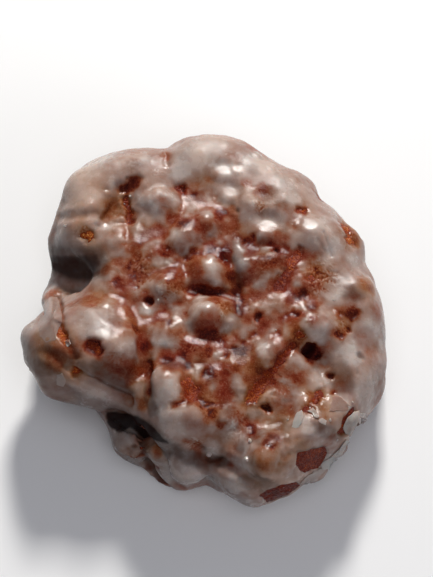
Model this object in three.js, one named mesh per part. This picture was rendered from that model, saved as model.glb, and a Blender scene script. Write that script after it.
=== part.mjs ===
// Apple fritter: one flat, craggy cake of fried dough. Lobes of dough run together round a thick disc,
// knobs of chopped dough and apple stand on them, and cracks and hollows stay open between.
// Millimetres, +Z up. It lies on its underside, and the origin is below the middle of its box.

import * as THREE from 'three';
import { mergeVertices } from 'three/addons/utils/BufferGeometryUtils.js';

// Driving dimensions
const WIDTH = 132; // along X
const DEPTH = 143; // along Y
const HEIGHT = 42; // along Z
const SKIN_DETAIL = 22; // cuts along each edge of the icosahedron that becomes the skin

// How softly the pieces run together, as the radius of the fillet between them
const LOBE_FILLET = 8;
const KNOB_FILLET = 2.4;
const HOLLOW_FILLET = 2.5;
const FOOT_FILLET = 1.2;

// The thick disc in the middle, rounded all round its rim
const CORE = { x: 3, y: 4, z: 15.5, discX: 33, discY: 33, rim: 18.2 };

// Lobes round the disc, clockwise from the far side: centre and radii
const LOBES = [
  { x: 2, y: 58, z: 23, rx: 22, ry: 14, rz: 14 }, // far side
  { x: 23, y: 45, z: 20, rx: 18, ry: 15, rz: 16 },
  { x: 42, y: 27, z: 18, rx: 15.5, ry: 18, rz: 16 },
  { x: 53, y: 0, z: 17, rx: 12, ry: 20, rz: 15 }, // right side
  { x: 50.5, y: -20, z: 16, rx: 12, ry: 15, rz: 14 },
  { x: 41, y: -40, z: 17, rx: 16, ry: 14, rz: 15 },
  { x: 22, y: -52, z: 17, rx: 20, ry: 16, rz: 16 }, // near side
  { x: -6, y: -36, z: 26, rx: 17, ry: 14, rz: 9 }, // near left shoulder
  { x: -4, y: -45, z: 7, rx: 19, ry: 15.5, rz: 7.5 }, // low lobes under the left arm
  { x: -19, y: -36, z: 6.5, rx: 15.5, ry: 15.5, rz: 7 },
  { x: -36, y: -17, z: 27, rx: 20, ry: 15, rz: 11 }, // left arm
  { x: -40, y: -23, z: 21, rx: 17, ry: 10, rz: 9 }, // skirt of the left arm
  { x: -53, y: -11, z: 23, rx: 12, ry: 13, rz: 11 }, // end of the left arm
  { x: -46, y: 13, z: 9, rx: 11.5, ry: 18, rz: 9.5 }, // low edge behind the left arm
  { x: -43, y: 33, z: 20, rx: 12.5, ry: 14, rz: 14 },
  { x: -27, y: 50, z: 22, rx: 20, ry: 15.5, rz: 15 }, // far left shoulder
];

// Knobs that stand out on the top: place and radius
const TOP_KNOBS = [
  { x: -34, y: 42, r: 13 }, // along the far side
  { x: -18, y: 38, r: 10 },
  { x: 11, y: 45, r: 11 },
  { x: 20, y: 37, r: 10 },
  { x: 31, y: 39, r: 11 },
  { x: 38, y: 28, r: 11 },
  { x: 4, y: 33, r: 10 }, // across the middle, from far to near
  { x: -6, y: 26, r: 10 },
  { x: -30, y: 24, r: 11 },
  { x: -16, y: 20, r: 8 },
  { x: 14, y: 15, r: 10 },
  { x: 24, y: 14, r: 10 },
  { x: 35, y: 8, r: 10 },
  { x: 2, y: 10, r: 11 },
  { x: -12, y: 6, r: 10 },
  { x: 3, y: -4, r: 11 },
  { x: 12, y: -9, r: 10 },
  { x: -12, y: -11, r: 8 },
  { x: -2, y: -18, r: 10 },
  { x: 24, y: -5, r: 10 },
  { x: 39, y: -10, r: 12 },
  { x: 23, y: -19, r: 11 },
  { x: 11, y: -27, r: 10 },
  { x: 34, y: -28, r: 11 },
  { x: 22, y: -38, r: 11 },
  { x: -13, y: -33, r: 11 },
  { x: -11, y: -40, r: 10 },
  { x: 9, y: -46, r: 12 },
  { x: 22, y: -54, r: 11 }, // along the near and right sides
  { x: 37, y: -44, r: 11 },
  { x: 47, y: -32, r: 10 },
  { x: 45, y: -17, r: 11 },
  { x: 51, y: 4, r: 11 },
  { x: 48, y: 19, r: 11 },
  { x: -42, y: -2, r: 12 }, // along the left arm
  { x: -33, y: -15, r: 15 },
  { x: -51, y: -14, r: 13 },
];
const TOP_SUNK = 0.78; // share of a knob's radius that its centre lies below the skin

// Smaller knobs spread evenly over the sides
const SIDE_KNOBS = { count: 110, least: 9, most: 15, sunk: 0.95, seed: 41 };
const TOP_SLOPE = 0.75; // a skin that faces up more than this is left to the listed knobs

// How far the dough wanders from those round shapes, and over what length
const WANDER = { size: 1.9, length: 5.5 };

// Hollows and cracks between the lobes and knobs: centre and radii
const HOLLOWS = [
  { x: -50, y: 14.5, z: 30, rx: 15, ry: 8.5, rz: 14 }, // behind the left arm
  { x: -14, y: 66, z: 33, rx: 3, ry: 8, rz: 12 }, // nick on the far side
  { x: -25, y: 41, z: 39, rx: 3, ry: 9, rz: 7 }, // crack along the far left shoulder
  { x: 4, y: 3, z: 40, rx: 11, ry: 2.5, rz: 6 }, // crack across the middle
  { x: 16, y: 4, z: 40, rx: 3, ry: 9, rz: 6 },
  { x: 37, y: -19, z: 38, rx: 4, ry: 4, rz: 8 }, // pit near the right side
  { x: 23, y: 43, z: 40, rx: 2.5, ry: 4, rz: 6 },
  { x: -20, y: -24, z: 37, rx: 3, ry: 12, rz: 7 }, // fold beside the left arm
  { x: 4, y: -69, z: 10, rx: 4.5, ry: 7.5, rz: 12 }, // nick on the near side
];

// The underside is flat in the middle, lifts a little round that, and stands on four feet, so it doesn't rock
const FOOT_FLAT = 22; // radius of the flat middle
const FOOT_LIFT = 0.3;
const FEET = [
  { x: -26, y: -36 },
  { x: 32, y: -22 },
  { x: 34, y: 26 },
  { x: -29, y: 31 },
];

// The skin starts on rays that leave this flat oval, then settles onto the plain body and onto the dough
const SKELETON = { x: 30, y: 33, z: 11 };
const RAY_LIFT = 0.45; // turns the rays upwards, so that the craggy top gets more of the vertices
const RAY_LENGTH = 75;
const RAY_STEP = 0.75;
const BISECTIONS = 16;
const BODY_ROUNDS = 30;
const DOUGH_ROUNDS = 36;
const SETTLE_MOST = 0.8; // longest move of a vertex in one round
const RELAX_SHARE = 0.4;
const PROBE = 0.05; // step of the slope measure

// Random draws that are the same on every run
function seededRandom(seed) {
  let state = seed >>> 0;
  return () => {
    state = (state + 0x6d2b79f5) >>> 0;
    let t = Math.imul(state ^ (state >>> 15), 1 | state);
    t = (t + Math.imul(t ^ (t >>> 7), 61 | t)) ^ t;
    return ((t ^ (t >>> 14)) >>> 0) / 2 ** 32;
  };
}

// Distance to an ellipsoid, close to true near its skin
function ellipsoidDistance(p, e) {
  const x = p.x - e.x;
  const y = p.y - e.y;
  const z = p.z - e.z;
  const near = Math.hypot(x / e.rx, y / e.ry, z / e.rz);
  const slope = Math.hypot(x / e.rx ** 2, y / e.ry ** 2, z / e.rz ** 2);
  return slope < 1e-9 ? -Math.min(e.rx, e.ry, e.rz) : (near * (near - 1)) / slope;
}

// Distance to the rounded disc in the middle
function coreDistance(p) {
  const x = p.x - CORE.x;
  const y = p.y - CORE.y;
  const share = Math.hypot(x / CORE.discX, y / CORE.discY);
  const reach = Math.hypot(x, y);
  const outside = share > 1 ? reach * (1 - 1 / share) : 0;
  return Math.hypot(outside, p.z - CORE.z) - CORE.rim;
}

function smoothUnion(a, b, fillet) {
  const h = Math.max(fillet - Math.abs(a - b), 0) / fillet;
  return Math.min(a, b) - (h * h * fillet) / 4;
}

function smoothCut(a, b, fillet) {
  return -smoothUnion(-a, b, fillet);
}

// A point moved aside by slow waves, which makes round shapes uneven
function wandered(p) {
  const { size, length } = WANDER;
  const x = p.x / length;
  const y = p.y / length;
  const z = p.z / length;
  return new THREE.Vector3(
    p.x + size * (Math.sin(y + 1.3 * Math.sin(0.8 * x + z)) + 0.6 * Math.sin(1.7 * z - 1.1 * y + 2)),
    p.y + size * (Math.sin(x + 1.4 * Math.sin(0.9 * y - z) + 4) + 0.6 * Math.sin(1.6 * x + 1.2 * z)),
    p.z + size * (0.7 * Math.sin(0.9 * x + 1.2 * Math.sin(y)) + 0.5 * Math.sin(1.9 * y - 0.7 * x + 1)),
  );
}

// The plain body, before knobs and hollows
function bodyDistance(p) {
  const join = (d, lobe) => smoothUnion(d, ellipsoidDistance(p, lobe), LOBE_FILLET);
  return LOBES.reduce(join, coreDistance(p));
}

const slopeOf = (distance, p) =>
  new THREE.Vector3(
    distance(p.clone().setX(p.x + PROBE)) - distance(p.clone().setX(p.x - PROBE)),
    distance(p.clone().setY(p.y + PROBE)) - distance(p.clone().setY(p.y - PROBE)),
    distance(p.clone().setZ(p.z + PROBE)) - distance(p.clone().setZ(p.z - PROBE)),
  ).divideScalar(2 * PROBE);

// The outermost point of a skin along a ray
function skinOnRay(distance, start, direction) {
  let outside = RAY_LENGTH;
  while (outside > 0 && distance(start.clone().addScaledVector(direction, outside)) > 0) {
    outside -= RAY_STEP;
  }
  let inside = outside;
  outside += RAY_STEP;
  for (let i = 0; i < BISECTIONS; i++) {
    const middle = (inside + outside) / 2;
    if (distance(start.clone().addScaledVector(direction, middle)) > 0) outside = middle;
    else inside = middle;
  }
  return start.clone().addScaledVector(direction, inside);
}

const rayStart = (direction) =>
  new THREE.Vector3(direction.x * SKELETON.x, direction.y * SKELETON.y, SKELETON.z);

// A knob sunk into the body's skin at a point of it
function knobAt(point, r, sunk) {
  const outward = slopeOf(bodyDistance, point).normalize();
  const centre = point.clone().addScaledVector(outward, -sunk * r);
  return { x: centre.x, y: centre.y, z: centre.z, rx: r, ry: r, rz: r };
}

function topKnobs() {
  const up = new THREE.Vector3(0, 0, 1);
  return TOP_KNOBS.map(({ x, y, r }) =>
    knobAt(skinOnRay(bodyDistance, new THREE.Vector3(x, y, CORE.z), up), r, TOP_SUNK),
  );
}

// Knobs along a spiral from pole to pole, each of a seeded size, where the skin doesn't face up
function sideKnobs() {
  const random = seededRandom(SIDE_KNOBS.seed);
  const goldenAngle = Math.PI * (3 - Math.sqrt(5));
  const knobs = [];
  for (let i = 0; i < SIDE_KNOBS.count; i++) {
    const r = THREE.MathUtils.lerp(SIDE_KNOBS.least, SIDE_KNOBS.most, random());
    const z = 1 - (2 * i + 1) / SIDE_KNOBS.count;
    const angle = i * goldenAngle + random();
    const flat = Math.sqrt(1 - z * z);
    const direction = new THREE.Vector3(flat * Math.cos(angle), flat * Math.sin(angle), z);
    const point = skinOnRay(bodyDistance, rayStart(direction), direction);
    const faces = slopeOf(bodyDistance, point).normalize();
    if (faces.z < TOP_SLOPE) knobs.push(knobAt(point, r, SIDE_KNOBS.sunk));
  }
  return knobs;
}

// The whole fritter: body, knobs, hollows, and the floor that flattens its underside
function doughDistance(knobs) {
  const reach = SIDE_KNOBS.most * 2 + KNOB_FILLET;
  return (place) => {
    const p = wandered(place);
    let d = bodyDistance(place);
    for (const knob of knobs) {
      if (Math.abs(p.x - knob.x) > reach || Math.abs(p.y - knob.y) > reach) continue;
      d = smoothUnion(d, ellipsoidDistance(p, knob), KNOB_FILLET);
    }
    for (const hollow of HOLLOWS) d = smoothCut(d, ellipsoidDistance(p, hollow), HOLLOW_FILLET);
    return smoothCut(d, place.z, FOOT_FILLET);
  };
}

// An icosahedron's fine mesh with its shared vertices merged
function fineSphere() {
  const sphere = new THREE.IcosahedronGeometry(1, SKIN_DETAIL);
  sphere.deleteAttribute('normal');
  sphere.deleteAttribute('uv');
  return mergeVertices(sphere);
}

function neighboursOf(geometry) {
  const found = Array.from({ length: geometry.attributes.position.count }, () => new Set());
  const index = geometry.index.array;
  for (let i = 0; i < index.length; i += 3) {
    for (let k = 0; k < 3; k++) found[index[i + k]].add(index[i + ((k + 1) % 3)]);
  }
  return found.map((set) => [...set]);
}

// Sinks the skin onto the dough: each round evens the vertices out along the skin and moves them towards it
function settle(points, neighbours, distance, rounds) {
  for (let round = 0; round < rounds; round++) {
    points = points.map((p, i) => {
      const slope = slopeOf(distance, p);
      const outward = slope.clone().normalize();
      const pull = new THREE.Vector3();
      for (const n of neighbours[i]) pull.add(points[n]);
      pull.divideScalar(neighbours[i].length).sub(p);
      pull.addScaledVector(outward, -pull.dot(outward));
      const height = distance(p) / Math.max(slope.length(), 0.5);
      const sink = THREE.MathUtils.clamp(height, -SETTLE_MOST, SETTLE_MOST);
      return p.clone().addScaledVector(pull, RELAX_SHARE).addScaledVector(outward, -sink);
    });
  }
  return points;
}

function fritterGeometry() {
  const geometry = fineSphere();
  const neighbours = neighboursOf(geometry);
  const position = geometry.attributes.position;
  let points = [];
  for (let i = 0; i < position.count; i++) {
    const direction = new THREE.Vector3().fromBufferAttribute(position, i);
    direction.z += RAY_LIFT * (1 - direction.z ** 2);
    direction.normalize();
    points.push(skinOnRay(bodyDistance, rayStart(direction), direction));
  }
  points = settle(points, neighbours, bodyDistance, BODY_ROUNDS);
  points = settle(points, neighbours, doughDistance([...topKnobs(), ...sideKnobs()]), DOUGH_ROUNDS);
  points.forEach((p, i) => position.setXYZ(i, p.x, p.y, p.z));
  fitToSize(geometry);
  shapeFoot(position);
  geometry.computeVertexNormals();
  return geometry;
}

// Scales the skin to the driving dimensions and stands it on the floor, over the origin
function fitToSize(geometry) {
  geometry.computeBoundingBox();
  const size = geometry.boundingBox.getSize(new THREE.Vector3());
  const middle = geometry.boundingBox.getCenter(new THREE.Vector3());
  geometry.translate(-middle.x, -middle.y, -geometry.boundingBox.min.z);
  geometry.scale(WIDTH / size.x, DEPTH / size.y, HEIGHT / size.z);
}

// Lifts the lowest vertices outside the flat middle, apart from the one nearest to each foot
function shapeFoot(position) {
  const low = [];
  for (let i = 0; i < position.count; i++) {
    if (position.getZ(i) <= FOOT_LIFT) low.push(i);
  }
  const reach = (i, foot) => Math.hypot(position.getX(i) - foot.x, position.getY(i) - foot.y);
  const onFoot = FEET.map((foot) => low.reduce((a, b) => (reach(a, foot) < reach(b, foot) ? a : b)));
  const middle = { x: 0, y: 0 };
  for (const i of low) {
    position.setZ(i, onFoot.includes(i) || reach(i, middle) < FOOT_FLAT ? 0 : FOOT_LIFT);
  }
}

const glazedCrust = new THREE.MeshStandardMaterial({ color: 0x8f6352, roughness: 0.4, metalness: 0 });
const fritter = new THREE.Mesh(fritterGeometry(), glazedCrust);
fritter.name = 'fritter';

const part = new THREE.Group();
part.add(fritter);

export default part;
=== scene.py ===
import math
import random

import bpy
import numpy as np
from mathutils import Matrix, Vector, noise
from mathutils.bvhtree import BVHTree


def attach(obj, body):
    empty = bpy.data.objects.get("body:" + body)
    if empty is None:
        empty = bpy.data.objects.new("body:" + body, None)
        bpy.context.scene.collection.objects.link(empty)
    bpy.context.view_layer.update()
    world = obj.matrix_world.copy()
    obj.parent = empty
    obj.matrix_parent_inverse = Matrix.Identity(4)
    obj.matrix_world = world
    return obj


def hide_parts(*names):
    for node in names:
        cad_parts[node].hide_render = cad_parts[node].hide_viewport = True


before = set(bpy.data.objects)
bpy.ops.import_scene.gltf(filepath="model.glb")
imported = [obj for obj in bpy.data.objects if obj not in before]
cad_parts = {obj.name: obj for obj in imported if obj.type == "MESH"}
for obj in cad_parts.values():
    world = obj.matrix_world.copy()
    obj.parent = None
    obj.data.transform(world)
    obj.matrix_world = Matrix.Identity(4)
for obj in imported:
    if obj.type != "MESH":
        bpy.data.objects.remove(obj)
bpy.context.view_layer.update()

mm = 0.001

# camera first: spots on the skin are placed by the photo's pixels, through this lens
cameraView = {
    "frame": (433, 577),  # the photo's width and height in pixels
    "elevation": 65,  # degrees above the table
    "distance": 520,  # mm
    "mmPerPixel": 0.3626,
    "centrePixel": (204, 314.5),  # where the point below shows
    "centrePoint": (0, 0, 19),  # mm
    "sensor": 36,
}

elevation = math.radians(cameraView["elevation"])
viewRight = Vector((1, 0, 0))
viewBack = Vector((0, -math.cos(elevation), math.sin(elevation)))
viewUp = viewBack.cross(viewRight)
halfWidth = cameraView["frame"][0] / 2
halfHeight = cameraView["frame"][1] / 2
pixel = cameraView["mmPerPixel"]
aimPoint = (Vector(cameraView["centrePoint"])
            + viewRight * (halfWidth - cameraView["centrePixel"][0]) * pixel
            + viewUp * (cameraView["centrePixel"][1] - halfHeight) * pixel)
eyePoint = aimPoint + viewBack * cameraView["distance"]

bpy.ops.object.camera_add(location=eyePoint * mm, rotation=(math.pi / 2 - elevation, 0, 0))
photoCamera = bpy.context.object
photoCamera.name = "photoCamera"
photoCamera.data.sensor_width = cameraView["sensor"]
photoCamera.data.lens = cameraView["sensor"] * cameraView["distance"] / (cameraView["frame"][1] * pixel)
bpy.context.scene.camera = photoCamera
print("camera set, lens", round(photoCamera.data.lens, 1))


def pixelRay(px, py):
    across = viewRight * (px - halfWidth) * pixel
    along = viewUp * (halfHeight - py) * pixel
    return (across + along - viewBack * cameraView["distance"]).normalized()


def onSkin(tree, px, py):
    ray = pixelRay(px, py)
    place, normal, face, distance = tree.ray_cast(eyePoint, ray)
    if place is None:  # just off the outline: the nearest skin to the ray
        place, normal, face, distance = tree.find_nearest(eyePoint + ray * cameraView["distance"])
    return place, normal


def seenPixels(points):
    # where points show in the photo
    away = points - np.array(eyePoint)
    reach = cameraView["distance"] / -(away @ np.array(viewBack)) / pixel
    across = halfWidth + away @ np.array(viewRight) * reach
    down = halfHeight - away @ np.array(viewUp) * reach
    return np.stack((across, down), axis=1)


# mesh helpers, in mm
def readPoints(piece):
    flat = np.empty(len(piece.data.vertices) * 3)
    piece.data.vertices.foreach_get("co", flat)
    return flat.reshape(-1, 3) / mm


def writePoints(piece, points):
    piece.data.vertices.foreach_set("co", (points * mm).ravel())
    piece.data.update()


def readNormals(piece):
    flat = np.empty(len(piece.data.vertices) * 3)
    piece.data.vertex_normals.foreach_get("vector", flat)
    return flat.reshape(-1, 3)


def giveAttribute(piece, name, values):
    layer = piece.data.attributes.new(name, "FLOAT", "POINT")
    layer.data.foreach_set("value", values.astype(np.float32))


def useOnly(piece):
    bpy.ops.object.select_all(action="DESELECT")
    piece.select_set(True)
    bpy.context.view_layer.objects.active = piece


def applyModifier(piece, kind, **settings):
    useOnly(piece)
    modifier = piece.modifiers.new(kind.lower(), kind)
    for key, value in settings.items():
        setattr(modifier, key, value)
    bpy.ops.object.modifier_apply(modifier=modifier.name)


def smoothSkin(piece, rounds):
    applyModifier(piece, "SMOOTH", factor=0.5, iterations=rounds)


def copyPiece(piece, name):
    twin = bpy.data.objects.new(name, piece.data.copy())
    bpy.context.scene.collection.objects.link(twin)
    return twin


def skinTree(piece):
    points = [Vector(p) for p in readPoints(piece)]
    faces = [tuple(f.vertices) for f in piece.data.polygons]
    return BVHTree.FromPolygons(points, faces)


def smoothStep(low, high, values):
    share = np.clip((values - low) / (high - low), 0, 1)
    return share * share * (3 - 2 * share)


def noiseField(points, size, shift):
    offset = Vector((shift * 17.3, shift * 5.1, shift * 9.7))  # each shift gives another pattern
    return np.array([noise.noise(Vector(p) / size + offset) for p in points])


def noiseVectors(points, size):
    return np.array([noise.noise_vector(Vector(p) / size) for p in points])


# the dough: a copy of the solid, with finer lumps and creases than the solid has
doughShape = {
    "seed": 1,  # of the way that lumps and spots stray, the same each run
    "merge": 0.01,  # mm
    "voxel": 0.68,  # mm between points
    "smoothing": 9,
    "lumpSize": 6.5,  # mm from lump to lump
    "creaseDepth": 0.32,
    "creaseWidth": 0.45,  # share of a lump
    "wander": 2.2,  # how far the lumps stray from straight edges
    "wanderSize": 5,
    "waveSize": 3.4,
    "waveHeight": 0.12,
    "sideRelief": 0.25,  # share of all this that the sides get
    "footHeight": 1.2,  # the skin below this stays flat
    "caves": [  # undercuts, mm: centre and radii
        (-25, -42, 20, 8, 5, 5),  # under the left arm
        (-30, -39, 19, 5, 4, 4),
        (-16, -47.5, 23, 8, 5, 4),  # under the near left shoulder
        (59, -48, 12, 9, 9, 16),  # broken rim at the near right
        (-32, -61, 8, 13, 12, 14),  # corner of the low lobe
        (-20, -67, 8, 9, 10, 14),
        (1.5, -71, 6, 7, 8, 14),  # notch at the near side
    ],
    "middlePixel": (205, 318),
    "nudges": [  # x, y, radius and outward move, all in pixels: the outline seen in the photo
        (387, 384, 14, 6), (369, 413, 14, -6.5), (349, 439, 18, -8), (329, 466, 18, -9),
        (302, 486, 18, -10), (272, 502, 18, -8.5), (205, 486, 13, -10), (149, 473, 14, -8),
        (109, 436, 14, -6.5), (61, 401, 18, -9), (35, 380, 16, -6), (23, 350, 14, -4), (34, 318, 14, -10),
        (50, 229, 16, -6), (62, 198, 14, -4), (80, 167, 14, 4.5), (143, 147, 16, 3), (317, 185, 12, 4.5),
        (345, 222, 16, -4.5),
    ],
}


def carveCaves(dough):
    for x, y, z, rx, ry, rz in doughShape["caves"]:
        bpy.ops.mesh.primitive_uv_sphere_add(segments=32, ring_count=20, location=(x * mm, y * mm, z * mm),
                                             scale=(rx * mm, ry * mm, rz * mm))
        cutter = bpy.context.object
        applyModifier(dough, "BOOLEAN", operation="DIFFERENCE", object=cutter)
        bpy.data.objects.remove(cutter)


def nudgeOutline(points):
    seen = seenPixels(points)
    moved = points.copy()
    for x, y, radius, outward in doughShape["nudges"]:
        line = np.array((x, y)) - doughShape["middlePixel"]
        line = line / np.linalg.norm(line)
        share = np.exp(-np.sum((seen - (x, y)) ** 2, axis=1) / radius ** 2) * outward * pixel
        moved[:, 0] += share * line[0]
        moved[:, 1] -= share * line[1] / math.sin(elevation)
    return moved


def makeDough():
    noise.seed_set(doughShape["seed"])
    dough = copyPiece(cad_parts["fritter"], "crust")
    useOnly(dough)
    dough.data.materials.clear()
    bpy.ops.object.mode_set(mode="EDIT")
    bpy.ops.mesh.select_all(action="SELECT")
    bpy.ops.mesh.remove_doubles(threshold=doughShape["merge"] * mm)
    bpy.ops.object.mode_set(mode="OBJECT")
    carveCaves(dough)
    applyModifier(dough, "REMESH", mode="VOXEL", voxel_size=doughShape["voxel"] * mm)
    smoothSkin(dough, doughShape["smoothing"])
    points = readPoints(dough)
    normals = readNormals(dough)
    creases = np.empty(len(points))
    for i, p in enumerate(points):
        place = Vector(p)
        place += noise.noise_vector(place / doughShape["wanderSize"]) * doughShape["wander"]
        near = noise.voronoi(place / doughShape["lumpSize"])[0]
        creases[i] = near[1] - near[0]
    rise = -doughShape["creaseDepth"] * (1 - smoothStep(0, doughShape["creaseWidth"], creases))
    rise += doughShape["waveHeight"] * noiseField(points, doughShape["waveSize"], 1)
    upward = smoothStep(0.45, 0.9, normals[:, 2])
    sideShare = doughShape["sideRelief"]
    rise *= smoothStep(0.2, doughShape["footHeight"], points[:, 2]) * (sideShare + (1 - sideShare) * upward)
    writePoints(dough, nudgeOutline(points + normals * rise[:, None]))
    print("dough:", len(points), "points")
    return dough


crust = makeDough()
doughTree = skinTree(crust)

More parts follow.
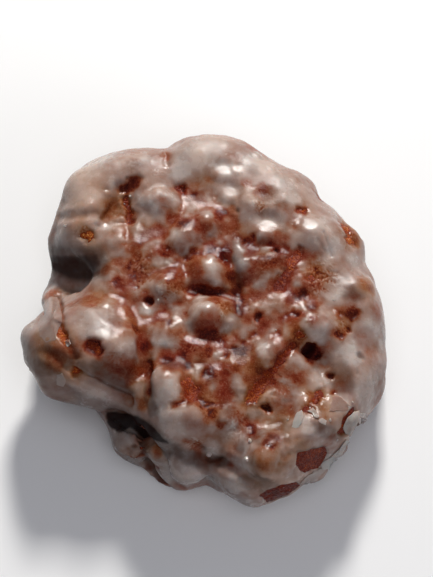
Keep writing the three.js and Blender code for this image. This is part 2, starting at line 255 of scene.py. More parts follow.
# what the photo shows on the skin, in its pixels: place, radius, and depth in mm or strength
skinSpots = {
    "pits": [  # x, y, radius, depth
        (183, 189, 5, 1.4), (237, 212, 3, 1.0), (277, 251, 4, 2.6), (223, 258, 4, 2.6),
        (149, 302, 6, 2.4), (308, 350, 8, 4.0), (317, 356, 5, 2.4), (265, 408, 6, 2.8),
        (258, 318, 4, 2.0), (296, 316, 4, 1.2), (302, 294, 5, 1.2), (207, 373, 5, 1.0),
        (167, 248, 4, 1.0), (340, 314, 4, 0.8), (353, 316, 4, 1.0), (339, 334, 5, 1.0),
        (349, 331, 4, 0.8), (278, 335, 3, 0.9), (94, 348, 9, 1.5), (101, 351, 6, 1.0), (169, 361, 5, 1.0),
        (192, 392, 9, 1.0), (316, 400, 7, 1.2), (360, 357, 4, 1.0), (346, 232, 8, 0.8),
        (301, 211, 4, 0.8), (331, 376, 5, 1.6), (326, 320, 3, 0.7), (356, 373, 3, 0.6),
        (135, 447, 5, 1.4),
    ],
    "streaks": [  # from x, y to x, y, width, depth
        (300, 252, 278, 289, 5, 1.0), (292, 346, 251, 400, 5, 1.1), (123, 190, 138, 180, 7, 2.6),
        (125, 197, 131, 221, 4, 1.6), (244, 246, 255, 238, 4, 1.2), (190, 290, 218, 293, 8, 1.2),
        (222, 357, 256, 335, 4, 1.0), (180, 351, 191, 368, 4, 0.5), (173, 408, 181, 402, 3, 1.6),
        (201, 400, 217, 422, 6, 0.9), (247, 421, 256, 435, 5, 0.9), (58, 325, 65, 342, 5, 1.2),
        (282, 401, 291, 403, 2.5, 0.7), (270, 396, 277, 397, 2.5, 0.7), (332, 386, 333, 393, 3, 1.0),
        (210, 462, 222, 458, 3, 1.6), (187, 438, 202, 449, 5, 0.8), (115, 200, 105, 216, 4, 0.9),
        (99, 225, 129, 222, 3, 0.8), (151, 314, 149, 346, 5, 0.7), (151, 362, 151, 396, 5, 1.8),
        (166, 148, 167, 165, 4, 1.6), (131, 262, 140, 288, 4, 0.4), (131, 258, 150, 259, 4, 0.4),
        (268, 496, 297, 487, 5, 0.9), (235, 450, 247, 447, 4, 0.7), (318, 241, 326, 253, 3, 0.9),
        (329, 271, 348, 280, 2.5, 0.7), (345, 262, 353, 276, 3, 0.5), (144, 434, 143, 456, 4, 1.2),
        (143, 456, 152, 472, 4, 1.2), (152, 472, 166, 486, 4, 1.0), (370, 372, 374, 394, 3, 0.6),
        (283, 440, 304, 437, 3, 0.5),
    ],
    "lumps": [  # x, y, radius, height
        (167, 388, 16, 1.6), (176, 420, 17, 1.6), (153, 204, 15, 0.5), (195, 220, 15, 1.3),
        (318, 327, 18, 1.2), (344, 352, 16, 1.0), (210, 267, 18, 1.7), (209, 313, 21, 2.3),
        (264, 464, 9, 1.9), (274, 262, 13, 1.0), (185, 238, 13, 1.0), (108, 342, 22, 1.0),
        (310, 234, 15, 1.0), (233, 322, 13, 1.0), (369, 284, 8, 1.4), (246, 262, 14, 0.9),
        (270, 348, 14, 0.9), (298, 366, 15, 0.9), (320, 384, 13, 1.0), (162, 448, 17, 2.2),
        (131, 436, 11, 1.0), (178, 474, 15, 1.4), (108, 352, 18, 2.0), (96, 356, 14, 1.2),
        (266, 189, 12, 1.0), (141, 391, 9, 1.6), (360, 387, 14, 1.2), (337, 230, 6, 0.8),
        (84, 318, 16, 0.9), (258, 222, 15, 1.6), (276, 223, 15, 1.6), (240, 388, 10, 0.8),
        (146, 444, 9, 1.0), (84, 199, 20, 1.9), (134, 167, 12, 0.9), (80, 229, 9, 1.2),
        (196, 476, 12, 1.2), (228, 484, 12, 1.0), (284, 468, 10, 0.9), (242, 470, 8, 0.9),
        (306, 440, 9, 0.8), (330, 434, 9, 0.8),
    ],
    "sunk": [  # x, y, radius, depth: knobs that stand less high than in the solid
        (266, 204, 15, 2.4), (286, 196, 12, 1.5), (112, 318, 12, 1.6), (240, 185, 14, 0.8),
        (310, 228, 14, 1.0), (267, 350, 13, 1.4), (152, 206, 13, 1.3), (300, 232, 10, 1.4),
        (318, 325, 14, 0.8), (194, 236, 12, 1.0),
    ],
    "folds": [  # from x, y to x, y, width, depth: smooth dents under the glaze
        (58, 298, 62, 318, 5, 1.6), (62, 318, 63, 332, 5, 1.8), (63, 332, 70, 347, 5, 1.8),
        (70, 347, 75, 358, 6, 1.6), (75, 358, 66, 366, 6, 1.6), (66, 366, 84, 378, 7, 2.0),
        (84, 378, 106, 389, 7, 2.2), (106, 389, 130, 399, 7, 2.0), (44, 352, 58, 360, 8, 1.4),
        (58, 360, 72, 362, 8, 1.4), (134, 306, 140, 332, 9, 0.7), (140, 332, 146, 372, 9, 1.2),
        (128, 215, 128, 245, 4, 0.5), (60, 218, 96, 214, 7, 1.0), (119, 188, 113, 206, 8, 1.5),
        (113, 206, 104, 219, 8, 1.5), (144, 432, 143, 456, 9, 2.6), (143, 456, 152, 472, 9, 2.6),
        (152, 472, 166, 486, 9, 2.4), (130, 450, 138, 444, 8, 1.4), (96, 226, 128, 224, 6, 0.5),
        (196, 452, 215, 459, 10, 1.6), (215, 459, 237, 470, 10, 1.6), (237, 470, 258, 483, 10, 1.4),
        (325, 232, 331, 256, 3, 0.8), (188, 289, 222, 293, 7, 1.0), (222, 293, 240, 302, 7, 0.8),
        (231, 262, 238, 292, 8, 1.8), (190, 334, 212, 339, 9, 0.8), (212, 339, 232, 331, 9, 0.8),
        (186, 258, 188, 288, 8, 1.0), (236, 302, 236, 328, 7, 1.0),
    ],
    "calm": [  # x, y, radius, strength: where the glaze has run smooth
        (105, 338, 26, 1.0), (80, 320, 14, 0.9), (85, 180, 28, 0.9), (318, 240, 24, 1.0),
        (215, 158, 34, 1.0), (256, 170, 34, 1.0), (292, 196, 30, 1.0), (270, 205, 26, 1.0),
        (160, 160, 26, 0.9), (120, 166, 24, 0.8), (266, 224, 20, 0.9), (350, 275, 20, 0.8),
        (365, 330, 20, 0.8), (360, 375, 20, 0.8), (344, 352, 14, 0.7), (185, 425, 18, 0.8),
        (167, 388, 14, 0.7), (75, 230, 24, 0.7), (50, 345, 24, 0.8), (95, 388, 20, 0.6),
    ],
    "matt": [  # x, y, radius, strength: where the glaze has set dull
        (223, 169, 9, 0.35), (237, 167, 7, 0.35), (229, 191, 10, 0.5), (267, 228, 14, 0.15),
        (310, 222, 10, 0.35), (297, 219, 6, 0.5), (104, 332, 13, 0.2), (274, 181, 7, 0.6),
        (258, 175, 15, 1.0), (129, 163, 9, 0.7), (158, 164, 8, 0.7), (213, 146, 10, 0.9),
        (97, 314, 8, 0.8), (347, 279, 7, 0.7), (156, 186, 7, 0.7), (161, 193, 6, 0.6),
        (140, 165, 12, 1.0), (118, 165, 7, 0.8), (266, 200, 9, 0.9), (252, 194, 8, 0.9),
        (119, 232, 5, 0.6), (279, 196, 6, 0.8),
    ],
    "facets": [  # x, y, radius, strength: pressed towards the slope that catches the key light
        (267, 228, 14, 0.9), (309, 222, 9, 0.8), (223, 171, 10, 0.75), (102, 335, 10, 0.8),
        (230, 192, 10, 0.75), (238, 169, 6, 0.8), (255, 156, 6, 0.8), (137, 306, 4, 0.8),
        (97, 324, 5, 0.6), (201, 207, 4, 0.7), (359, 276, 4, 0.8), (107, 192, 4, 0.9), (269, 170, 4, 0.8),
        (208, 307, 4, 0.9), (205, 257, 4, 0.9), (184, 204, 4, 0.8), (112, 296, 4, 0.8),
        (229, 320, 4, 0.8), (153, 163, 4, 0.8), (276, 181, 4, 0.7), (298, 223, 4, 0.8),
    ],
    "shade": [  # x, y, radius, strength: painted shade, darker and less shiny where little light gets in or where the skin catches too much light
        (134, 166, 9, 0.35), (110, 212, 6, 0.15), (267, 197, 10, 0.35), (281, 198, 8, 0.25),
        (309, 322, 8, 0.3), (105, 316, 12, 0.22), (169, 323, 7, 0.35), (169, 365, 8, 0.5),
        (255, 407, 8, 0.3), (141, 239, 8, 0.3), (281, 428, 11, 0.45), (114, 321, 9, 0.3),
        (184, 226, 8, 0.35), (198, 197, 8, 0.3), (141, 232, 10, 0.25), (239, 240, 8, 0.35),
        (169, 267, 8, 0.3), (239, 309, 9, 0.4), (240, 352, 9, 0.5), (198, 365, 9, 0.35),
        (337, 351, 9, 0.25), (241, 449, 6, 0.4), (204, 448, 4, 0.4), (353, 294, 8, 0.5),
        (131, 185, 7, 0.35), (312, 251, 12, 0.1), (331, 376, 5, 0.7), (360, 357, 4, 0.5),
        (352, 315, 8, 0.4), (325, 358, 10, 0.4), (318, 372, 8, 0.3), (308, 350, 7, 0.9),
        (317, 357, 5, 0.6), (205, 292, 8, 0.4), (234, 286, 9, 0.4), (253, 253, 8, 0.35),
        (211, 252, 6, 0.35), (225, 249, 6, 0.3), (310, 309, 7, 0.4), (182, 365, 7, 0.45),
        (211, 380, 6, 0.3), (273, 437, 9, 0.45), (226, 407, 7, 0.35), (253, 170, 7, 0.3),
        (337, 380, 10, 0.3), (323, 372, 8, 0.3), (316, 408, 8, 0.3), (183, 405, 5, 0.3),
        (135, 447, 5, 0.5), (254, 482, 8, 0.3), (277, 250, 4, 0.4), (223, 258, 4, 0.4),
        (149, 302, 5, 0.3), (265, 408, 5, 0.3),
    ],
    "bare": [  # x, y, radius, gold: no glaze at all
        (93, 348, 4.5, 0.3), (100, 351, 3.5, 0.5), (192, 392, 9, 0.4), (187, 384, 6, 0.5),
        (314, 399, 5, 0.35), (319, 396, 5, 0.3), (308, 409, 4, 0.3), (346, 228, 6, 0.8),
        (350, 240, 6, 0.9), (90, 236, 5, 0.9), (83, 235, 4, 0.8), (302, 212, 4, 0.5), (252, 397, 7, 0.6),
        (180, 189, 5, 0.1), (311, 279, 4, 0.4), (300, 336, 4, 0.5), (76, 371, 4, 0.7),
    ],
    "bareStreaks": [  # from x, y to x, y, width, gold
        (299, 253, 290, 268, 7, 0.45), (290, 268, 278, 288, 6, 0.15), (292, 346, 268, 376, 5.5, 0.25),
        (268, 376, 256, 392, 7, 0.4), (126, 198, 131, 220, 4.5, 0.3), (338, 431, 346, 433, 3, 0.2),
        (59, 326, 65, 342, 4, 0.8),
    ],
    "grainy": [  # x, y, radius, strength: crumbs of crust stand through the glaze
        (321, 272, 12, 1.0), (316, 286, 10, 0.9), (329, 279, 8, 0.9), (141, 268, 10, 0.8),
        (142, 281, 8, 0.8), (266, 262, 10, 0.6), (172, 284, 10, 0.7), (165, 292, 8, 0.6),
        (300, 336, 5, 1.0), (260, 204, 7, 0.9), (341, 328, 8, 0.8), (238, 425, 13, 0.6),
        (195, 443, 8, 0.7), (210, 412, 9, 0.7), (128, 210, 6, 0.8), (310, 412, 8, 0.7),
        (222, 310, 7, 0.8), (186, 345, 10, 0.6), (85, 234, 9, 0.6), (348, 236, 10, 0.6),
        (280, 388, 10, 0.4), (313, 317, 6, 0.6), (134, 165, 8, 0.5), (118, 358, 9, 0.4),
    ],
    "deep": [  # x, y, radius, strength: dark red crust under almost clear glaze, and in places painted shade where the skin catches too much light
        (166, 248, 4, 1.0), (165, 256, 3, 0.8), (188, 259, 4, 0.9), (194, 251, 4, 0.8),
        (204, 248, 4, 0.6), (222, 258, 5, 1.0), (248, 242, 4, 1.0), (254, 239, 3, 0.8),
        (277, 251, 6, 0.9), (271, 245, 4, 0.7), (262, 244, 5, 0.7), (195, 291, 5, 1.0),
        (205, 293, 5, 1.0), (215, 294, 5, 1.0), (231, 276, 5, 0.8), (236, 288, 6, 0.9),
        (241, 300, 5, 0.7), (203, 329, 5, 0.7), (212, 334, 7, 1.0), (222, 338, 5, 0.9),
        (203, 338, 5, 0.8), (257, 318, 4, 1.0), (280, 334, 4, 0.9), (294, 314, 5, 0.8),
        (301, 296, 6, 1.0), (225, 355, 4, 0.9), (234, 349, 4, 0.9), (244, 342, 4, 0.8),
        (252, 336, 4, 0.7), (208, 373, 6, 1.0), (168, 360, 5, 1.0), (182, 355, 4, 0.9),
        (188, 365, 4, 0.9), (191, 388, 6, 0.6), (205, 405, 5, 0.9), (211, 413, 5, 0.9),
        (220, 424, 4, 0.8), (176, 405, 4, 1.0), (265, 408, 6, 1.0), (268, 444, 5, 0.8),
        (250, 426, 4, 0.8), (254, 434, 4, 0.8), (352, 315, 6, 1.0), (341, 336, 4, 1.0),
        (349, 331, 3, 0.8), (222, 212, 6, 0.9), (219, 219, 4, 0.7), (193, 196, 4, 0.9),
        (183, 190, 5, 0.9), (182, 248, 4, 0.6), (175, 244, 4, 0.7), (116, 282, 5, 0.8),
        (149, 302, 6, 0.8), (136, 328, 5, 0.8), (146, 346, 5, 0.9), (129, 266, 3, 0.8),
        (133, 277, 3, 0.8), (137, 288, 3, 0.8), (93, 347, 8, 0.6), (101, 351, 6, 0.5), (87, 345, 4, 0.6),
        (210, 352, 4, 0.6), (262, 190, 7, 0.7), (184, 225, 6, 0.7), (225, 212, 7, 0.8),
        (213, 253, 5, 0.8), (226, 253, 5, 0.8), (240, 309, 6, 0.9), (240, 352, 6, 0.9),
        (310, 309, 5, 0.8), (311, 322, 4, 0.6), (170, 323, 5, 0.7), (169, 378, 4, 0.6),
        (258, 436, 5, 0.6), (274, 436, 6, 0.6), (236, 366, 4, 0.5), (276, 384, 4, 0.5),
        (330, 376, 4, 1.0), (333, 393, 3, 0.9), (311, 352, 8, 1.0), (297, 344, 4, 0.7),
        (293, 378, 5, 0.6), (318, 399, 4, 0.7), (186, 312, 4, 0.4), (176, 333, 5, 0.5),
        (260, 372, 4, 0.4), (150, 392, 4, 0.7),
    ],
    "thin": [  # x, y, radius, strength: the crust shows through, and in places painted shade over spots that catch too much light
        (313, 252, 11, 0.5), (340, 263, 9, 0.45), (321, 274, 12, 0.8), (368, 286, 9, 1.0),
        (353, 294, 7, 0.5), (340, 313, 7, 1.1), (352, 315, 8, 1.2), (304, 296, 8, 1.1),
        (341, 334, 6, 1.2), (349, 330, 4, 1.0), (364, 336, 5, 0.8), (372, 350, 10, 0.4),
        (341, 377, 11, 0.7), (324, 356, 10, 0.7), (298, 382, 8, 0.7), (306, 374, 6, 0.6),
        (378, 385, 7, 0.4), (375, 312, 9, 0.35), (328, 440, 6, 0.6), (35, 345, 12, 0.5),
        (60, 353, 14, 0.9), (46, 336, 9, 0.4), (74, 352, 8, 0.8), (54, 366, 10, 0.6), (127, 188, 6, 1.2),
        (136, 181, 6, 1.2), (108, 203, 9, 0.9), (110, 212, 8, 1.0), (86, 229, 7, 0.7), (134, 165, 9, 0.8),
        (108, 168, 6, 0.7), (110, 214, 8, 0.7), (107, 172, 8, 0.5), (129, 266, 4, 1.1),
        (132, 276, 4, 1.1), (136, 287, 4, 1.1), (140, 258, 4, 1.0), (149, 259, 4, 1.0),
        (259, 472, 5, 0.9), (268, 444, 6, 0.9), (206, 406, 7, 1.1), (221, 425, 7, 0.9),
        (107, 270, 8, 0.7), (112, 283, 9, 0.7), (140, 266, 10, 0.8), (140, 279, 9, 0.8),
        (103, 190, 15, 0.5), (91, 184, 12, 0.4), (111, 208, 9, 0.6), (75, 224, 13, 0.6),
        (90, 296, 15, 0.7), (72, 305, 9, 0.8), (110, 300, 10, 0.5), (135, 322, 13, 0.8),
        (145, 340, 9, 0.7), (79, 372, 8, 0.7), (110, 364, 14, 0.5), (175, 276, 11, 0.8),
        (177, 286, 8, 0.6), (179, 299, 9, 0.8), (195, 272, 8, 0.8), (197, 257, 9, 0.8),
        (216, 304, 8, 0.7), (212, 323, 9, 0.8), (226, 310, 6, 0.9), (205, 330, 10, 0.8),
        (175, 330, 10, 0.7), (203, 350, 11, 0.8), (185, 358, 12, 0.7), (234, 363, 12, 0.8),
        (241, 357, 10, 0.6), (254, 368, 9, 0.8), (223, 381, 8, 0.5), (221, 400, 10, 0.8),
        (296, 377, 12, 0.8), (265, 465, 9, 0.95), (268, 447, 9, 0.7), (252, 429, 9, 0.7),
        (190, 422, 8, 0.6), (159, 231, 10, 0.7), (140, 240, 12, 0.7), (172, 222, 12, 0.6),
        (196, 215, 11, 0.5), (198, 180, 10, 0.6), (212, 177, 7, 0.8), (247, 180, 6, 0.5),
        (265, 192, 10, 0.4), (239, 226, 12, 0.8), (270, 242, 10, 0.8), (264, 258, 11, 0.7),
        (298, 298, 12, 0.8), (296, 316, 11, 0.7), (345, 314, 13, 0.6), (336, 334, 10, 0.6),
        (351, 234, 13, 0.9), (367, 284, 10, 0.9), (364, 337, 9, 0.5), (314, 190, 8, 0.5),
        (166, 156, 8, 0.7), (160, 158, 7, 0.4), (53, 354, 13, 0.5), (48, 330, 12, 0.3),
        (280, 425, 12, 0.3), (318, 402, 13, 0.6), (285, 402, 9, 0.5), (236, 284, 10, 0.7),
        (258, 324, 10, 0.6), (312, 356, 10, 0.6), (346, 425, 8, 0.6), (157, 452, 4, 1.0),
        (280, 480, 12, 0.4), (230, 340, 10, 0.6), (150, 366, 9, 0.6), (207, 373, 9, 1.1),
        (168, 361, 9, 1.0), (302, 294, 7, 1.1), (296, 316, 7, 1.1), (339, 334, 7, 1.0),
        (300, 335, 6, 0.8), (116, 282, 8, 1.0), (222, 216, 8, 1.1), (167, 249, 7, 1.0),
        (208, 408, 9, 1.1), (214, 418, 8, 1.0), (187, 438, 5, 0.9), (197, 445, 5, 0.9),
        (182, 358, 6, 1.0), (188, 366, 6, 1.0), (250, 242, 7, 1.0), (205, 292, 8, 1.1),
        (190, 290, 8, 1.0), (220, 294, 8, 1.0), (210, 334, 13, 1.0), (238, 290, 10, 0.8),
        (136, 394, 7, 0.6), (78, 345, 8, 0.5), (136, 325, 9, 0.9), (146, 345, 8, 1.0), (128, 318, 8, 0.6),
        (70, 306, 8, 0.8), (95, 303, 12, 0.7), (52, 357, 10, 0.6), (40, 346, 8, 0.5), (145, 404, 6, 0.8),
        (228, 408, 10, 0.8), (183, 403, 6, 0.8), (335, 372, 12, 0.8), (340, 388, 10, 0.7),
        (326, 366, 8, 0.7), (312, 408, 8, 0.5), (225, 255, 9, 0.9), (252, 252, 9, 0.9),
        (240, 244, 8, 0.8), (279, 254, 8, 0.9), (212, 249, 6, 0.7), (176, 266, 8, 0.8),
        (198, 196, 8, 0.8), (141, 170, 8, 0.6), (211, 174, 7, 1.1), (247, 183, 6, 0.9),
        (265, 194, 10, 0.7), (283, 206, 7, 0.4), (302, 207, 6, 0.7), (281, 430, 11, 0.9),
        (114, 322, 9, 0.8), (184, 226, 8, 0.8), (198, 197, 8, 0.8), (141, 232, 10, 0.6),
        (239, 240, 8, 0.8), (169, 323, 8, 0.8), (169, 366, 8, 0.8), (198, 366, 8, 0.7),
        (232, 158, 8, 0.4), (150, 170, 10, 0.5), (120, 364, 12, 1.2), (104, 371, 10, 1.1),
        (132, 376, 9, 1.1), (115, 382, 9, 0.9), (245, 420, 9, 0.8), (230, 445, 10, 0.7),
        (290, 412, 9, 0.7), (215, 440, 9, 0.7), (255, 455, 9, 0.7), (300, 440, 8, 0.6),
        (330, 345, 8, 0.6), (253, 172, 7, 0.7), (241, 309, 8, 0.9), (312, 308, 8, 0.8),
        (316, 322, 6, 0.5), (240, 352, 8, 0.9), (172, 365, 8, 0.9), (183, 366, 6, 0.8),
        (211, 380, 7, 0.9), (275, 438, 10, 0.7), (290, 434, 8, 0.5), (160, 300, 8, 0.3),
        (224, 224, 9, 0.7), (296, 262, 8, 0.6), (282, 290, 9, 0.5), (248, 322, 8, 0.6),
    ],
    "warm": [  # x, y, radius, strength: orange rather than red
        (141, 390, 9, 1.0), (88, 196, 28, 0.75), (105, 205, 16, 1.0), (80, 228, 12, 1.0),
        (226, 310, 7, 1.0), (241, 357, 12, 0.9), (254, 368, 10, 0.7), (265, 464, 15, 1.0),
        (351, 234, 15, 1.0), (367, 284, 12, 0.9), (318, 402, 15, 1.0), (87, 235, 14, 0.9),
        (207, 405, 14, 0.7), (300, 335, 12, 0.7), (322, 272, 14, 0.6), (252, 397, 14, 0.9),
        (60, 335, 14, 0.9), (145, 272, 16, 0.3), (177, 286, 12, 0.4), (280, 425, 14, 0.8),
        (345, 318, 14, 0.6), (190, 380, 14, 0.5), (110, 200, 18, 0.7), (78, 372, 12, 0.9),
        (95, 300, 18, 0.4), (145, 404, 8, 1.0), (134, 322, 9, 0.6), (46, 345, 20, 0.8),
        (60, 365, 18, 0.8), (280, 480, 20, 0.7), (297, 460, 16, 0.8), (346, 425, 12, 0.6),
        (156, 452, 10, 0.6), (263, 195, 14, 0.4), (212, 178, 12, 0.5),
    ],
    "milk": [  # x, y, radius, strength: thick and white, and in places painted light on walls that turn away from the lamps
        (183, 168, 12, 1.3), (213, 169, 8, 1.2), (226, 170, 10, 1.2), (267, 238, 8, 1.2),
        (226, 331, 9, 1.2), (351, 435, 9, 1.3), (72, 184, 10, 1.3), (295, 491, 8, 1.3),
        (254, 157, 10, 1.0), (250, 222, 13, 1.1), (243, 210, 9, 1.0), (294, 198, 9, 1.0),
        (212, 311, 8, 0.7), (127, 350, 11, 1.2), (156, 338, 9, 0.9), (142, 309, 8, 1.0),
        (334, 456, 12, 1.0), (312, 478, 12, 0.9), (349, 436, 8, 1.0), (155, 254, 8, 0.8),
        (197, 211, 8, 0.8), (296, 488, 8, 0.6), (141, 390, 7, 1.0), (104, 332, 10, 1.0),
        (88, 325, 10, 0.8), (334, 247, 10, 0.9), (335, 295, 10, 0.8), (318, 334, 14, 0.6),
        (361, 387, 12, 0.9), (298, 367, 6, 0.8), (163, 441, 12, 1.2), (172, 472, 14, 1.2),
        (160, 475, 10, 1.1), (124, 430, 14, 1.0), (126, 448, 14, 1.0), (150, 462, 10, 1.0),
        (188, 476, 16, 1.2), (215, 478, 14, 1.0), (236, 484, 12, 1.0), (60, 240, 10, 0.8),
        (380, 345, 6, 0.8), (167, 390, 15, 1.0), (173, 420, 17, 1.0), (214, 277, 12, 0.8),
        (318, 327, 17, 1.0), (344, 355, 17, 1.0), (153, 204, 15, 0.7), (185, 238, 13, 0.9),
        (229, 193, 12, 0.9), (225, 170, 14, 0.8), (258, 165, 18, 1.0), (274, 219, 13, 1.0),
        (318, 226, 16, 0.9), (285, 185, 15, 0.8), (240, 258, 14, 0.7), (246, 330, 12, 0.6),
        (230, 325, 12, 0.9), (320, 382, 14, 0.8), (270, 346, 12, 0.6), (286, 358, 12, 0.5),
        (300, 428, 15, 0.7), (366, 385, 16, 0.9), (372, 330, 14, 0.7), (340, 285, 15, 0.6),
        (98, 322, 18, 0.9), (118, 352, 14, 0.7), (95, 388, 22, 0.8), (70, 215, 22, 0.8),
        (85, 170, 30, 1.0), (100, 160, 20, 0.9), (70, 240, 18, 0.9), (140, 165, 18, 0.6),
        (190, 160, 20, 0.8), (205, 145, 22, 0.7), (62, 240, 14, 0.7), (50, 318, 12, 0.7),
        (340, 405, 10, 0.8), (226, 432, 14, 0.6), (312, 242, 10, 1.0), (330, 255, 12, 1.0),
        (338, 268, 9, 0.8), (245, 205, 10, 1.0), (200, 160, 14, 1.0), (78, 192, 15, 1.2),
        (92, 196, 13, 1.0), (112, 184, 7, 1.0), (90, 222, 10, 0.9), (105, 226, 8, 0.8),
        (150, 250, 9, 0.9), (240, 391, 7, 0.9), (211, 449, 9, 1.2), (72, 366, 8, 1.0),
        (265, 228, 11, 1.0), (158, 294, 9, 0.9), (170, 296, 7, 0.8), (184, 309, 7, 0.8),
        (250, 480, 20, 0.7), (200, 478, 16, 0.8), (280, 484, 14, 0.7), (325, 462, 10, 0.8),
        (150, 175, 10, 0.6), (172, 200, 9, 0.5), (300, 240, 11, 0.7), (352, 262, 13, 0.6),
        (196, 312, 9, 0.8), (233, 318, 8, 0.9), (205, 301, 7, 0.6), (155, 285, 8, 0.5),
        (245, 445, 12, 0.5), (300, 350, 8, 0.4), (188, 325, 9, 0.7),
    ],
}
hiddenLook = {  # more of the same round the back: tries, seed, radii in mm, and depths or strengths
    "pits": (90, 11, (1.2, 2.6), (0.8, 2.2)),
    "bare": (60, 12, (1.0, 2.4), (0.0, 0.8)),
    "thin": (260, 13, (3.0, 6.0), (0.4, 0.9)),
    "milk": (260, 14, (4.0, 8.0), (0.4, 0.9)),
}
fieldLook = {  # how strong, ragged and soft each kind of spot is
    "pits": (0.55, 0.4, 0.6),
    "streaks": (0.4, 0.6, 0.7),
    "lumps": (0.8, 0.2, 0.9),
    "sunk": (1, 0.2, 0.9),
    "folds": (1, 0.3, 0.9),
    "calm": (1, 0.2, 0.7),
    "matt": (1, 0.3, 0.8),
    "shade": (1, 0.4, 0.8),
    "bare": (1, 1, 0.45),
    "edge": (1, 0.7, 0.5),  # a little wider than bare, where the glaze runs out
    "gold": (1, 1, 0.6),
    "grainy": (1, 0.8, 0.6),
    "deep": (1, 0.9, 0.5),
    "thin": (1, 0.7, 0.65),
    "warm": (1, 0.4, 0.8),
    "milk": (1, 0.5, 0.7),
}


def placedSpots(kind):
    placed = []
    for x, y, radius, amount in skinSpots[kind]:
        place = np.array(onSkin(doughTree, x, y)[0])
        placed.append((place, place, radius * pixel, amount))
    return placed


def placedStreaks(kind):
    placed = []
    for x0, y0, x1, y1, width, amount in skinSpots[kind]:
        steps = max(1, int(math.hypot(x1 - x0, y1 - y0) / 6))  # about 6 pixels each
        shares = [i / steps for i in range(steps + 1)]
        along = [np.array(onSkin(doughTree, x0 + (x1 - x0) * s, y0 + (y1 - y0) * s)[0]) for s in shares]
        for start, end in zip(along, along[1:]):
            placed.append((start, end, width * pixel * 0.7, amount))
    return placed


def hiddenSpots(kind):
    # only where the photo shows nothing
    tries, seed, radii, amounts = hiddenLook[kind]
    pick = random.Random(seed)
    placed = []
    for _ in range(tries):
        turn, height = pick.uniform(0, 2 * math.pi), pick.uniform(5, 36)
        radius, amount = pick.uniform(*radii), pick.uniform(*amounts)
        outward = Vector((math.cos(turn), math.sin(turn), 0))
        place, normal, face, distance = doughTree.ray_cast(outward * 120 + Vector((0, 0, height)), -outward)
        if place is not None and normal.dot((eyePoint - place).normalized()) < 0.12:
            placed.append((np.array(place), np.array(place), radius, amount))
    return placed


def skinField(kind, points, spots):
    # the strongest spot at each point: full inside, fading over the share called soft
    strength, raggedness, soft = fieldLook[kind]
    edge = 1 + 0.5 * (ragged * raggedness)
    total = np.zeros(len(points))
    for start, end, radius, amount in spots:
        reach = radius * 1.7 + np.abs(end - start) / 2 + 0.5
        near = np.nonzero(np.all(np.abs(points - (start + end) / 2) < reach, axis=1))[0]
        if not len(near):
            continue
        line = end - start
        share = np.clip((points[near] - start) @ line / max(line @ line, 1e-9), 0, 1)
        away = np.linalg.norm(points[near] - start - share[:, None] * line, axis=1)
        held = amount * (1 - smoothStep(1 - soft, 1 + soft, away / radius * edge[near]))
        total[near] = np.maximum(total[near], held)
    return strength * total


# the skin's fields, read by both the crust and the glaze
doughPoints = readPoints(crust)
doughNormals = readNormals(crust)
ragged = noiseField(doughPoints, 1.9, 2) + 0.5 * noiseField(doughPoints, 0.9, 3)
strayed = doughPoints + 1.1 * noiseVectors(doughPoints, 3.1)
onTop = smoothStep(0.5, 2.5, doughPoints[:, 2])

pitSpots = placedSpots("pits") + hiddenSpots("pits")
bareSpots = placedSpots("bare") + placedStreaks("bareStreaks") + hiddenSpots("bare")
thinSpots = placedSpots("thin") + hiddenSpots("thin")
milkSpots = placedSpots("milk") + hiddenSpots("milk")

lumpHeight = skinField("lumps", doughPoints, placedSpots("lumps"))
sunkDepth = skinField("sunk", doughPoints, placedSpots("sunk"))
foldDepth = skinField("folds", doughPoints, placedStreaks("folds"))
calmShare = skinField("calm", doughPoints, placedSpots("calm"))
mattShare = skinField("matt", doughPoints, placedSpots("matt"))
pitDepth = skinField("pits", strayed, [(a, b, r * 0.75, d) for a, b, r, d in pitSpots])
grooveDepth = skinField("streaks", strayed, placedStreaks("streaks"))
shadeShare = skinField("shade", strayed, placedSpots("shade"))
bareShare = skinField("bare", strayed, [(a, b, r, 1) for a, b, r, g in bareSpots])
edgeShare = skinField("edge", strayed, [(a, b, r * 1.25 + 0.3, 1) for a, b, r, g in bareSpots])
goldShare = skinField("gold", strayed, bareSpots)
thinAndShadeShare = skinField("thin", strayed, thinSpots)
deepRedAndShadeShare = skinField("deep", strayed, placedSpots("deep"))
whiteAndPaintedLightShare = skinField("milk", strayed, milkSpots)
warmShare = skinField("warm", strayed, placedSpots("warm")) + 0.2 + 0.6 * noiseField(doughPoints, 8, 9)
warmShare = np.clip(warmShare, 0, 1)
grains = np.random.default_rng(6).normal(0, 1, len(doughPoints))
grains *= skinField("grainy", strayed, placedSpots("grainy"))
print("skin spots:", len(pitSpots) + len(bareSpots) + len(thinSpots) + len(milkSpots))

